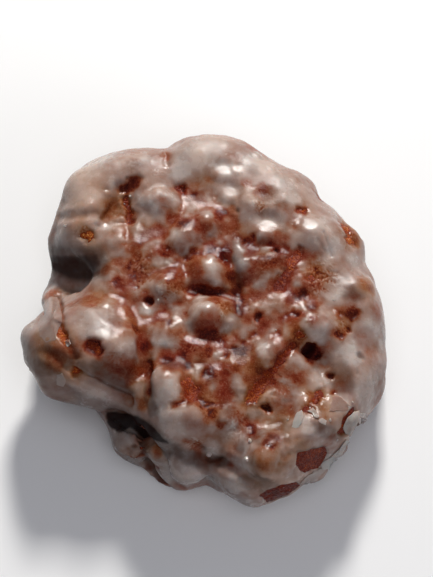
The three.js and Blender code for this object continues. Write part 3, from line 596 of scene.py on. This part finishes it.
chips = [  # gold, and corners in pixels, of patches where the glaze has broken off
    (0.22, [(297, 454), (324, 447), (327, 453), (318, 467), (304, 473), (296, 465)]),
    (0.2, [(340, 430), (344, 418), (353, 408), (354, 411), (347, 421), (345, 432)]),
    (0.05, [(260, 495), (272, 488), (297, 483), (301, 487), (295, 494), (268, 503)]),
]
paintedShadePatches = [  # painted shade, where little light gets in: strength, pixels over which it fades, and corners in pixels
    # behind the arm
    (0.6, 11, [(48, 252), (70, 249), (98, 250), (104, 262), (102, 274), (88, 275), (72, 273), (58, 267)]),
    (0.85, 11, [(44, 260), (56, 258), (78, 257), (95, 258), (99, 266), (97, 273), (90, 276), (80, 277),
                (70, 275), (60, 270), (50, 266)]),
    (0.93, 3, [(107, 412), (126, 413), (138, 417), (150, 424), (160, 433), (168, 441), (158, 438),
               (148, 435), (138, 432), (130, 428), (122, 432), (114, 428), (109, 422)]),  # under the arm
    (0.6, 7, [(150, 424), (166, 438), (186, 453), (205, 459), (222, 457), (226, 463), (208, 467),
              (190, 462), (170, 450), (156, 437)]),  # under the near left shoulder
    (0.5, 4, [(142, 434), (147, 436), (146, 454), (153, 470), (166, 486), (162, 487), (149, 472),
              (142, 456)]),  # crease in it
    (0.3, 8, [(220, 248), (250, 245), (284, 247), (284, 260), (250, 260), (222, 260)]),
    (0.4, 8, [(333, 366), (344, 364), (349, 376), (348, 390), (338, 390), (334, 380)]),
    (0.75, 2, [(205, 461), (213, 458), (223, 457), (218, 461), (209, 464)]),
    (0.3, 6, [(108, 425), (125, 432), (140, 434), (146, 440), (143, 456), (138, 462), (124, 458),
              (114, 442)]),  # low lobe
    # end of the arm
    (0.35, 8, [(24, 346), (34, 352), (48, 350), (66, 352), (76, 358), (60, 372), (40, 374), (28, 362)]),
    (0.3, 6, [(46, 352), (62, 352), (76, 358), (66, 364), (52, 366), (46, 360)]),
    (0.35, 8, [(95, 362), (112, 366), (128, 372), (142, 384), (132, 386), (114, 380), (98, 372)]),
    (0.45, 5, [(80, 362), (96, 366), (112, 374), (130, 386), (144, 384), (142, 392), (126, 394),
               (108, 386), (92, 376)]),
    (0.25, 6, [(40, 374), (58, 380), (76, 392), (104, 402), (130, 410), (100, 412), (70, 404),
               (48, 390)]),
    (0.4, 4, [(147, 372), (152, 372), (154, 400), (160, 412), (152, 416), (147, 400)]),
    (0.35, 5, [(248, 428), (262, 432), (284, 431), (288, 440), (268, 446), (252, 440)]),
    (0.35, 5, [(314, 424), (330, 428), (344, 434), (338, 438), (322, 434)]),
    # above the bare patch
    (0.5, 3, [(296, 452), (310, 449), (322, 445), (323, 448), (310, 453), (298, 456)]),
    (0.4, 5, [(240, 478), (256, 476), (277, 484), (268, 490), (250, 488)]),  # above the bare edge
]


def cornersHold(corners, spots, fade=2.2):
    # 1 inside the corners, fading to 0 outside over so many pixels
    inside = np.zeros(len(spots), bool)
    away = np.full(len(spots), 1e9)
    for (x0, y0), (x1, y1) in zip(corners, corners[1:] + corners[:1]):
        crosses = (y0 > spots[:, 1]) != (y1 > spots[:, 1])
        rise = (y1 - y0) if y1 != y0 else 1e-9
        inside ^= crosses & (spots[:, 0] < (x1 - x0) * (spots[:, 1] - y0) / rise + x0)
        line = np.array((x1 - x0, y1 - y0))
        share = np.clip(((spots - (x0, y0)) @ line) / (line @ line), 0, 1)
        away = np.minimum(away, np.linalg.norm(spots - (x0, y0) - share[:, None] * line, axis=1))
    return np.where(inside, 1, 1 - smoothStep(0, fade, away))


skinPixels = seenPixels(strayed * 0.4 + doughPoints * 0.6)
facingEye = np.einsum("ij,ij->i", np.array(eyePoint) - doughPoints, doughNormals) > 0
for gold, corners in chips:
    held = cornersHold(corners, skinPixels) * facingEye
    bareShare = np.maximum(bareShare, held)
    goldShare = np.where(held > 0.5, gold + 0.25 * ragged, goldShare)
# painted shade inside the pits
shadeShare = np.maximum(shadeShare, 0.45 * smoothStep(0.2, 1.0, pitDepth))
# the patches add painted shade to the glaze colour
for strength, fade, corners in paintedShadePatches:
    held = cornersHold(corners, skinPixels, fade) * facingEye
    shadeShare = np.maximum(shadeShare, strength * held)

# the smooth skin that the crust and the glaze both start from
skinLook = {
    "foldBefore": 0.4,  # share of a fold that is smoothed with the lumps
    "foldAfter": 0.7,  # and that is pressed in afterwards
    "topSmoothing": 24,
    "sideSmoothing": 14,  # more, down the sides
    "calmSmoothing": 110,
    "facetNormal": (0.055, 0.247, 0.967),
}


def pressFacets(points):
    slope = np.array(skinLook["facetNormal"])
    for x, y, radius, strength in skinSpots["facets"]:
        middle = np.array(onSkin(doughTree, x, y)[0])
        away = np.linalg.norm(points - middle, axis=1) / (radius * pixel)
        weight = strength * (1 - smoothStep(0.6, 1.5, away))
        level = points @ slope
        points -= (weight * (level - np.average(level, weights=weight)))[:, None] * slope


def makeSmoothSkin():
    rise = (lumpHeight - skinLook["foldBefore"] * foldDepth - sunkDepth) * onTop
    writePoints(crust, doughPoints + doughNormals * rise[:, None])
    smoothSkin(crust, skinLook["topSmoothing"])
    points = readPoints(crust)
    side = 1 - smoothStep(0.3, 0.75, doughNormals[:, 2])
    for rounds, share in ((skinLook["sideSmoothing"], side), (skinLook["calmSmoothing"], calmShare)):
        smoothSkin(crust, rounds)
        points = points * (1 - share[:, None]) + readPoints(crust) * share[:, None]
    pressFacets(points)
    points -= doughNormals * (skinLook["foldAfter"] * foldDepth * onTop)[:, None]
    writePoints(crust, points)
    return points, readNormals(crust)


crustLook = {
    "grain": 0.1,  # mm, rough grain where no glaze lies
    "bareSink": 0.02,  # mm that it lies below the smooth skin there
    "under": 0.25,  # the same below the glaze
    "baseLift": 0.35,  # mm that the crust stays above the table
}


def makeCrust():
    pick = np.random.default_rng(5)
    grain = pick.normal(0, crustLook["grain"], len(skinPoints)) * bareShare
    low = crustLook["bareSink"] * bareShare + crustLook["under"] * (1 - bareShare)
    rise = (grain - low - pitDepth - grooveDepth) * onTop
    points = skinPoints + skinNormals * rise[:, None]
    points[:, 2] = np.maximum(points[:, 2], crustLook["baseLift"])
    writePoints(crust, points)
    giveAttribute(crust, "gold", goldShare)
    print("crust done")


glazeLook = {
    "thickness": 0.4,  # mm
    "waveSize": 4.5,
    "waves": 0.12,
    "pool": 0.3,  # more where it is white
    "ripples": 0.1,
    "ripplesMore": 0.4,  # in the middle and on the near side
    "grains": 0.07,
    "edgeLoss": 0.92,  # it runs out towards a bare spot
    "sunk": 0.25,  # how far it dips under a bare crust
    "pitShare": 0.9,
    "grooveShare": 0.7,
    "calmLoss": 0.7,  # how much quieter it is where it has run smooth
}
milkLook = {  # how white the glaze is: 0 is clear, 1 is white
    "rim": 0.67,
    "middle": -0.21,  # more or less in the middle
    "waves": (0.2, 0.36, 0.08),  # everywhere, and more in the middle and on the near side
    "veins": (0.1, 0.1, 0.08),
    "white": 0.38,
    "thin": 0.36,
    "edge": 0.4,
    "fold": 0.2,
    "deep": (0.15, 0.2),  # before and after the next two
    "knee": 0.42,  # below this it eases off
    "clear": 0.19,  # towards this: even thin glaze is not quite clear
    "grains": 0.16,
    "grooves": 0.25,
    "least": 0.08,
}


def howMilky(waves, veins, middle, nearSide):
    wavy = (milkLook["waves"][0] + milkLook["waves"][1] * middle
            + milkLook["waves"][2] * nearSide) * waves
    veined = (milkLook["veins"][0] + milkLook["veins"][1] * middle
              + milkLook["veins"][2] * nearSide) * veins
    milk = milkLook["rim"] + milkLook["middle"] * middle
    milk += (wavy + veined) * (1 - glazeLook["calmLoss"] * calmShare)
    milk += milkLook["white"] * whiteAndPaintedLightShare - milkLook["thin"] * thinAndShadeShare - milkLook["edge"] * edgeShare
    milk -= milkLook["deep"][0] * deepRedAndShadeShare + milkLook["fold"] * smoothStep(0.2, 1.6, foldDepth)
    span = milkLook["knee"] - milkLook["clear"]
    eased = milkLook["clear"] + span * np.exp((milk - milkLook["knee"]) / span)
    milk = np.where(milk < milkLook["knee"], eased, milk)
    milk += milkLook["grains"] * grains - milkLook["deep"][1] * deepRedAndShadeShare
    for depth in (grooveDepth, pitDepth):
        milk -= milkLook["grooves"] * smoothStep(0.1, 0.9, depth)
    return np.clip(milk, milkLook["least"], 1)


def makeGlaze():
    glaze = copyPiece(crust, "glaze")
    glaze.data.attributes.remove(glaze.data.attributes["gold"])
    waves = noiseField(doughPoints, glazeLook["waveSize"], 6)
    veins = noiseField(doughPoints, 2.1, 7) + 0.6 * noiseField(doughPoints, 1.2, 8)
    veins *= 1 - 0.6 * np.clip(whiteAndPaintedLightShare, 0, 1)
    middle = 1 - smoothStep(30, 52, np.hypot(doughPoints[:, 0] - 4, doughPoints[:, 1]))
    middle *= smoothStep(24, 32, doughPoints[:, 2])
    nearSide = 1 - smoothStep(-58, -38, doughPoints[:, 1])
    milk = howMilky(waves, veins, middle, nearSide)
    more = glazeLook["ripplesMore"]
    ripples = veins * (1 - more + more * middle + more * nearSide) * (1 - glazeLook["calmLoss"] * calmShare)
    thick = glazeLook["thickness"] + glazeLook["waves"] * waves + glazeLook["pool"] * (milk - 0.5)
    thick += glazeLook["ripples"] * ripples + glazeLook["grains"] * grains
    thick *= 1 - glazeLook["edgeLoss"] * edgeShare
    thick -= glazeLook["pitShare"] * pitDepth + glazeLook["grooveShare"] * grooveDepth
    dip = -pitDepth - grooveDepth - crustLook["bareSink"] - glazeLook["sunk"]
    rise = (thick * (1 - bareShare) + dip * bareShare) * onTop
    points = skinPoints + skinNormals * rise[:, None]
    points[:, 2] = np.maximum(points[:, 2], 0)
    writePoints(glaze, points)
    # one attribute carries the painted shade from shadeShare to the material
    for name, values in (("milk", milk), ("warm", warmShare), ("paintedShade", shadeShare), ("matt", mattShare)):
        giveAttribute(glaze, name, values)
    print("glaze done")
    return glaze


undersideLook = {
    "facing": -0.95,  # a face whose normal points down by so much
    "below": 3,  # mm
    "keep": 0.12,  # share of its faces, as the flat underside needs few
}


def thinUnderside(piece):
    useOnly(piece)
    bpy.context.tool_settings.mesh_select_mode = (False, False, True)
    bpy.ops.object.mode_set(mode="EDIT")
    bpy.ops.mesh.select_all(action="DESELECT")
    bpy.ops.object.mode_set(mode="OBJECT")
    facing, below = undersideLook["facing"], undersideLook["below"] * mm
    for face in piece.data.polygons:
        face.select = face.normal.z < facing and face.center.z < below
    bpy.ops.object.mode_set(mode="EDIT")
    bpy.ops.mesh.decimate(ratio=undersideLook["keep"])
    bpy.ops.object.mode_set(mode="OBJECT")
    bpy.context.tool_settings.mesh_select_mode = (True, False, False)
    print(piece.name, "faces:", len(piece.data.polygons))


skinPoints, skinNormals = makeSmoothSkin()
makeCrust()
glaze = makeGlaze()
for piece in (crust, glaze):
    thinUnderside(piece)
glazeTree = skinTree(glaze)

# loose bits: shards of glaze that stand off the rim, and crumbs that lie on it
flakeLook = {
    "thickness": 0.28,  # mm
    "rings": 3,
    "step": 2.4,  # pixels along an edge
    "rough": 0.5,  # pixels that an edge strays
    "lowest": -0.1,  # mm
    "smoothAngle": 35,
    # lift in mm at the middle, tilt in mm per pixel rightwards and downwards, white, corners in pixels
    "flakes": [
        (0.35, 0.02, -0.06, 1.0, [(292, 427), (294, 420), (298, 414), (303, 412), (304, 419), (299, 427),
                                  (296, 428)]),
        (0.45, 0.04, -0.05, 0.9, [(308, 412), (313, 409), (318, 414), (319, 418), (315, 418),
                                  (312, 414)]),
        (0.40, 0.05, 0.05, 0.9, [(318, 420), (322, 418), (326, 421), (325, 425), (321, 424)]),
        (0.20, -0.02, -0.03, 0.65, [(329, 411), (332, 398), (337, 396), (353, 408), (345, 411)]),
        (0.9, 0.05, 0.02, 0.95, [(342, 427), (345, 420), (352, 412), (358, 410), (357, 420), (352, 430),
                                 (348, 436), (344, 433)]),
        (0.9, 0.07, 0.00, 0.9, [(358, 411), (363, 411), (365, 417), (365, 427), (360, 436), (355, 435),
                                (357, 424)]),
        (0.45, 0.04, 0.03, 1.0, [(320, 464), (331, 456), (338, 449), (346, 439), (348, 441), (341, 453),
                                 (328, 468), (322, 469)]),
        (0.35, 0.03, 0.04, 0.85, [(306, 476), (320, 468), (324, 470), (314, 480), (304, 486),
                                  (300, 483)]),
        (0.30, 0.05, -0.03, 0.7, [(38, 324), (42, 309), (51, 299), (59, 300), (62, 311), (63, 323),
                                  (58, 331), (55, 340), (46, 342), (40, 336)]),
        (0.20, 0.02, 0.02, 0.8, [(57, 375), (62, 373), (66, 380), (64, 386), (57, 384)]),
        (0.35, 0.05, -0.05, 0.85, [(66, 341), (70, 340), (71, 344), (68, 347), (66, 345)]),
    ],
}


def roughEdge(corners, pick):
    edge = []
    rough = flakeLook["rough"]
    for (x0, y0), (x1, y1) in zip(corners, corners[1:] + corners[:1]):
        steps = max(1, round(math.hypot(x1 - x0, y1 - y0) / flakeLook["step"]))
        for i in range(steps):
            edge.append((x0 + (x1 - x0) * i / steps + pick.uniform(-1, 1) * rough,
                         y0 + (y1 - y0) * i / steps + pick.uniform(-1, 1) * rough))
    return edge


def makeFlakes():
    pick = random.Random(21)
    points, faces, whites = [], [], []
    rings = flakeLook["rings"]
    for lift, right, down, white, corners in flakeLook["flakes"]:
        edge = roughEdge(corners, pick)
        count = len(edge)
        midX = sum(x for x, y in edge) / count
        midY = sum(y for x, y in edge) / count
        first = len(points)
        spots = [(midX, midY)]
        for ring in range(1, rings + 1):
            spots += [(midX + (x - midX) * ring / rings, midY + (y - midY) * ring / rings) for x, y in edge]
        places = [onSkin(glazeTree, x, y) for x, y in spots]
        out = sum((normal for place, normal in places), Vector()).normalized()
        for (x, y), (place, normal) in zip(spots, places):
            rise = lift + right * (x - midX) + down * (y - midY)
            points.append((place + out * max(rise, flakeLook["lowest"])) * mm)
            whites.append(white)
        for i in range(count):
            j = (i + 1) % count
            faces.append((first, first + 1 + j, first + 1 + i))
            for ring in range(rings - 1):
                a = first + 1 + ring * count
                faces.append((a + i, a + j, a + count + j, a + count + i))
    mesh = bpy.data.meshes.new("glazeFlakes")
    mesh.from_pydata(points, [], faces)
    flakes = bpy.data.objects.new("glazeFlakes", mesh)
    bpy.context.scene.collection.objects.link(flakes)
    giveAttribute(flakes, "milk", np.array(whites))
    applyModifier(flakes, "SOLIDIFY", thickness=flakeLook["thickness"] * mm, offset=0)
    useOnly(flakes)
    bpy.ops.object.mode_set(mode="EDIT")
    bpy.ops.mesh.select_all(action="SELECT")
    bpy.ops.mesh.normals_make_consistent(inside=False)
    bpy.ops.object.mode_set(mode="OBJECT")
    bpy.ops.object.shade_smooth_by_angle(angle=math.radians(flakeLook["smoothAngle"]))
    print("flakes:", len(flakeLook["flakes"]))
    return flakes


crumbLook = {
    "sunk": 0.35,  # share of the size below the skin
    "rough": 0.25,  # mm
    "roughSize": 0.5,
    "crumbs": [  # x, y in pixels, size in mm
        (53, 222, 1.3), (69, 344, 0.9), (209, 454, 1.7), (247, 459, 1.6), (250, 441, 1.3),
        (130, 196, 0.8), (124, 204, 0.7), (276, 330, 0.6), (330, 420, 0.9), (310, 408, 0.8),
        (352, 402, 0.9), (288, 420, 0.7), (255, 403, 0.6), (334, 300, 0.6), (158, 300, 0.7),
        (337, 440, 0.8),
    ],
}


def makeCrumbs():
    pick = random.Random(22)
    bits = []
    for x, y, size in crumbLook["crumbs"]:
        place, normal = onSkin(glazeTree, x, y)
        place = place + normal * size * (0.5 - crumbLook["sunk"])
        bpy.ops.mesh.primitive_ico_sphere_add(subdivisions=2, radius=size * mm / 2, location=place * mm)
        bit = bpy.context.object
        bit.scale = (pick.uniform(0.8, 1.4), pick.uniform(0.7, 1.1), pick.uniform(0.5, 0.9))
        bit.rotation_euler = (pick.uniform(-0.4, 0.4), pick.uniform(-0.4, 0.4), pick.uniform(0, 3))
        bits.append(bit)
    useOnly(bits[0])
    for bit in bits:
        bit.select_set(True)
    bpy.ops.object.join()
    bpy.ops.object.transform_apply(location=True, rotation=True, scale=True)
    crumbs = bpy.context.object
    crumbs.name = "glazeCrumbs"
    points = readPoints(crumbs)
    writePoints(crumbs, points + noiseVectors(points, crumbLook["roughSize"]) * crumbLook["rough"])
    giveAttribute(crumbs, "milk", np.ones(len(points)))
    print("crumbs:", len(bits))
    return crumbs


flakes = makeFlakes()
crumbs = makeCrumbs()


# materials
def newMaterial(name):
    material = bpy.data.materials.new(name)
    material.use_nodes = True
    return material, material.node_tree, material.node_tree.nodes["Principled BSDF"].inputs


def addNode(tree, kind, **settings):
    node = tree.nodes.new(kind)
    for key, value in settings.items():
        if key in node.inputs:
            node.inputs[key].default_value = value
        else:
            setattr(node, key, value)
    return node


def addTexture(tree, kind, **settings):
    node = addNode(tree, kind, **settings)
    tree.links.new(addNode(tree, "ShaderNodeTexCoord").outputs["Object"], node.inputs["Vector"])
    return node


def addNoise(tree, scale, detail, roughness=0.5):
    node = addTexture(tree, "ShaderNodeTexNoise", Scale=scale, Detail=detail, Roughness=roughness)
    return node.outputs["Fac"]


def readAttribute(tree, name):
    return addNode(tree, "ShaderNodeAttribute", attribute_name=name).outputs["Fac"]


def splitColour(tree, colour):
    split = addNode(tree, "ShaderNodeSeparateColor")
    tree.links.new(colour, split.inputs["Color"])
    return split.outputs


def addRamp(tree, stops, level):
    ramp = addNode(tree, "ShaderNodeValToRGB")
    elements = ramp.color_ramp.elements
    while len(elements) < len(stops):
        elements.new(0.5)
    for element, (place, colour) in zip(elements, stops):
        element.position = place
        element.color = (*colour, 1)
    tree.links.new(level, ramp.inputs["Fac"])
    return ramp.outputs["Color"]


def addMix(tree, share, first, second):
    mix = addNode(tree, "ShaderNodeMix", data_type="RGBA")
    for socket, value in zip((mix.inputs[0], mix.inputs[6], mix.inputs[7]), (share, first, second)):
        if isinstance(value, tuple):
            socket.default_value = (*value, 1)
        else:
            tree.links.new(value, socket)
    return mix.outputs[2]


def addMath(tree, operation, *values, clamp=False):
    node = addNode(tree, "ShaderNodeMath", operation=operation, use_clamp=clamp)
    for socket, value in zip(node.inputs, values):
        if isinstance(value, (int, float)):
            socket.default_value = value
        else:
            tree.links.new(value, socket)
    return node.outputs[0]


glazeFinish = {
    "colours": [  # from thin to thick
        (0.0, (0.045, 0.004, 0.003)),
        (0.12, (0.110, 0.009, 0.004)),
        (0.25, (0.180, 0.022, 0.007)),
        (0.42, (0.250, 0.078, 0.042)),
        (0.6, (0.285, 0.158, 0.120)),
        (0.8, (0.352, 0.252, 0.214)),
        (1.0, (0.460, 0.388, 0.350)),
    ],
    "warmColours": [  # the same where the crust is golden
        (0.0, (0.045, 0.005, 0.003)),
        (0.12, (0.115, 0.016, 0.004)),
        (0.25, (0.210, 0.048, 0.010)),
        (0.42, (0.285, 0.112, 0.046)),
        (0.6, (0.325, 0.186, 0.116)),
        (0.8, (0.410, 0.258, 0.188)),
        (1.0, (0.525, 0.378, 0.303)),
    ],
    "hollow": (0.010, 0.0035, 0.0045),  # painted shade: the colour where little light gets in
    "cloudScale": 420,
    "fineScale": 1500,
    "crystalScale": 1900,
    "cloudThin": 0.22,  # how patchy thin glaze is
    "cloudAll": 0.16,
    "gritSharp": 6.0,  # few bright crystals
    "grit": 0.4,
    "speck": 0.5,
    "rough": 0.05,
    "roughCloud": 0.18,
    "roughMilk": 0.14,
    "roughMatt": 0.3,
    "bump": 0.09,
    "bumpThin": 0.36,
    "bumpHeight": 0.0004,  # metres
    "gritHeight": 3.0,
    "shine": 0.42,
    "shineLoss": -0.4,  # where shade is painted, and by the share below where it is thin
    "shineThin": 0.35,
    "scatter": 0.7,
    "scatterRadius": (1.0, 0.5, 0.35),
    "scatterScale": 0.0022,  # metres
}


def makeGlazeFinish():
    material, tree, shader = newMaterial("sugarGlaze")
    look = glazeFinish
    milk, warm, paintedShade, matt = [readAttribute(tree, name) for name in ("milk", "warm", "paintedShade", "matt")]
    thin = addMath(tree, "SUBTRACT", 1.0, milk, clamp=True)
    cloud = addNoise(tree, look["cloudScale"], 4, 0.6)
    fine = addNoise(tree, look["fineScale"], 3, 0.65)
    crystals = addTexture(tree, "ShaderNodeTexVoronoi", Scale=look["crystalScale"])
    crystal = splitColour(tree, crystals.outputs["Color"])[0]
    grit = addMath(tree, "MULTIPLY", addMath(tree, "POWER", crystal, look["gritSharp"]), look["grit"])
    patchy = addMath(tree, "MULTIPLY_ADD", thin, look["cloudThin"], look["cloudAll"])
    drift = addMath(tree, "MULTIPLY", addMath(tree, "SUBTRACT", cloud, 0.5), patchy)
    speck = addMath(tree, "ADD", addMath(tree, "SUBTRACT", fine, 0.5), grit)
    speck = addMath(tree, "MULTIPLY", speck, addMath(tree, "MULTIPLY", thin, thin))
    speck = addMath(tree, "MULTIPLY", speck, look["speck"])
    level = addMath(tree, "ADD", addMath(tree, "ADD", milk, drift), speck, clamp=True)
    ramps = [addRamp(tree, look[stops], level) for stops in ("colours", "warmColours")]
    # painted shade: the colour is mixed towards the shade colour
    colour = addMix(tree, paintedShade, addMix(tree, warm, *ramps), look["hollow"])
    tree.links.new(colour, shader["Base Color"])
    rough = addMath(tree, "MULTIPLY_ADD", cloud, look["roughCloud"], look["rough"])
    rough = addMath(tree, "ADD", rough, addMath(tree, "MULTIPLY", milk, look["roughMilk"]))
    rough = addMath(tree, "ADD", rough, addMath(tree, "MULTIPLY", matt, look["roughMatt"]))
    tree.links.new(rough, shader["Roughness"])
    bump = addNode(tree, "ShaderNodeBump", Distance=look["bumpHeight"])
    strength = addMath(tree, "MULTIPLY_ADD", thin, look["bumpThin"], look["bump"])
    tree.links.new(strength, bump.inputs["Strength"])
    height = addMath(tree, "ADD", fine, addMath(tree, "MULTIPLY", grit, look["gritHeight"]))
    tree.links.new(height, bump.inputs["Height"])
    tree.links.new(bump.outputs["Normal"], shader["Normal"])
    dull = addMath(tree, "MULTIPLY_ADD", thin, look["shineThin"], paintedShade)
    shine = addMath(tree, "MULTIPLY_ADD", dull, look["shineLoss"], look["shine"])
    tree.links.new(shine, shader["Specular IOR Level"])
    shader["Subsurface Weight"].default_value = look["scatter"]
    shader["Subsurface Radius"].default_value = look["scatterRadius"]
    shader["Subsurface Scale"].default_value = look["scatterScale"]
    return material


crustFinish = {
    "colours": [  # from deep fried to golden
        (0.0, (0.030, 0.003, 0.002)),
        (0.3, (0.120, 0.011, 0.004)),
        (0.55, (0.250, 0.036, 0.007)),
        (0.8, (0.480, 0.140, 0.022)),
        (1.0, (0.740, 0.400, 0.120)),
    ],
    "grainScale": 1300,
    "crystalScale": 2200,
    "dark": -0.08,
    "grain": 0.6,
    "gritSharp": 4.0,  # a few bright crystals among dark ones
    "grit": 0.28,
    "gold": 0.45,
    "rough": 0.12,
    "roughGrit": 0.4,
    "bump": 0.6,
    "bumpHeight": 0.0004,  # metres
    "shine": 0.16,
}


def makeCrustFinish():
    material, tree, shader = newMaterial("friedCrust")
    look = crustFinish
    gold = readAttribute(tree, "gold")
    grain = addNoise(tree, look["grainScale"], 3, 0.7)
    crystals = addTexture(tree, "ShaderNodeTexVoronoi", Scale=look["crystalScale"])
    crystal = splitColour(tree, crystals.outputs["Color"])
    grit = addMath(tree, "POWER", crystal[0], look["gritSharp"])
    level = addMath(tree, "MULTIPLY_ADD", grain, look["grain"], look["dark"])
    level = addMath(tree, "ADD", level, addMath(tree, "MULTIPLY", grit, look["grit"]))
    level = addMath(tree, "ADD", level, addMath(tree, "MULTIPLY", gold, look["gold"]), clamp=True)
    tree.links.new(addRamp(tree, look["colours"], level), shader["Base Color"])
    rough = addMath(tree, "MULTIPLY_ADD", crystal[1], look["roughGrit"], look["rough"])
    tree.links.new(rough, shader["Roughness"])
    bump = addNode(tree, "ShaderNodeBump", Strength=look["bump"], Distance=look["bumpHeight"])
    tree.links.new(addMath(tree, "ADD", grain, crystals.outputs["Distance"]), bump.inputs["Height"])
    tree.links.new(bump.outputs["Normal"], shader["Normal"])
    shader["Specular IOR Level"].default_value = look["shine"]
    return material


sugarGlaze = makeGlazeFinish()
crust.data.materials.append(makeCrustFinish())
for piece in (glaze, flakes, crumbs):
    piece.data.materials.append(sugarGlaze)
for piece in (crust, glaze):
    useOnly(piece)
    bpy.ops.object.shade_smooth()
print("materials done")

# table and light
studio = {
    # name, degrees from the back towards the right, degrees up, metres away, size, watts, colour, mirrored
    "lights": [
        ("keyLight", 6, 36, 1.2, 0.18, 16.4, (1.0, 0.98, 0.95), True),
        ("fillLight", 180, 70, 1.0, 0.8, 2.3, (0.94, 0.94, 1.0), False),  # wide, from the camera's side
        ("sideLight", 128, 20, 1.2, 0.6, 3.4, (0.92, 0.93, 1.0), False),  # weak and low, near right
    ],
    "sky": (0.86, 0.88, 1.0),
    "skyStrength": 0.12,
    "floor": (0.90, 0.90, 0.89),
    "floorDrop": 0.2,  # mm below the fritter
    "floorTone": 0.98,  # how dark its clouds are
}


def addLight(name, turn, height, distance, size, power, colour, mirrored):
    turn, height = math.radians(turn), math.radians(height)
    level = math.cos(height)
    towards = Vector((math.sin(turn) * level, math.cos(turn) * level, math.sin(height)))
    bpy.ops.object.light_add(type="AREA", location=towards * distance)
    lamp = bpy.context.object
    lamp.name = name
    lamp.rotation_euler = towards.to_track_quat("Z", "Y").to_euler()
    lamp.data.size = size
    lamp.data.energy = power
    lamp.data.color = colour
    lamp.visible_glossy = mirrored  # soft lights lay no veil over the glaze


def makeStudio():
    bpy.ops.mesh.primitive_plane_add(size=6, location=(0, 0, -studio["floorDrop"] * mm))
    floor = bpy.context.object
    floor.name = "floor"
    material, tree, shader = newMaterial("paleTable")
    tone = addNoise(tree, 3, 2)
    darker = tuple(c * studio["floorTone"] for c in studio["floor"])
    tree.links.new(addRamp(tree, [(0.3, darker), (0.7, studio["floor"])], tone), shader["Base Color"])
    shader["Roughness"].default_value = 0.9
    floor.data.materials.append(material)
    floor.visible_diffuse = False  # the table throws no light back up the sides
    for light in studio["lights"]:
        addLight(*light)
    world = bpy.data.worlds.new("softSky")
    bpy.context.scene.world = world
    world.use_nodes = True
    sky = world.node_tree.nodes["Background"].inputs
    sky["Color"].default_value = (*studio["sky"], 1)
    sky["Strength"].default_value = studio["skyStrength"]
    bpy.context.scene.view_settings.view_transform = "Standard"


makeStudio()
print("studio done")

for piece, slotName in ((crust, "crust"), (glaze, "glaze"), (flakes, "glaze"), (crumbs, "glaze")):
    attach(piece, "root")
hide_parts("fritter")
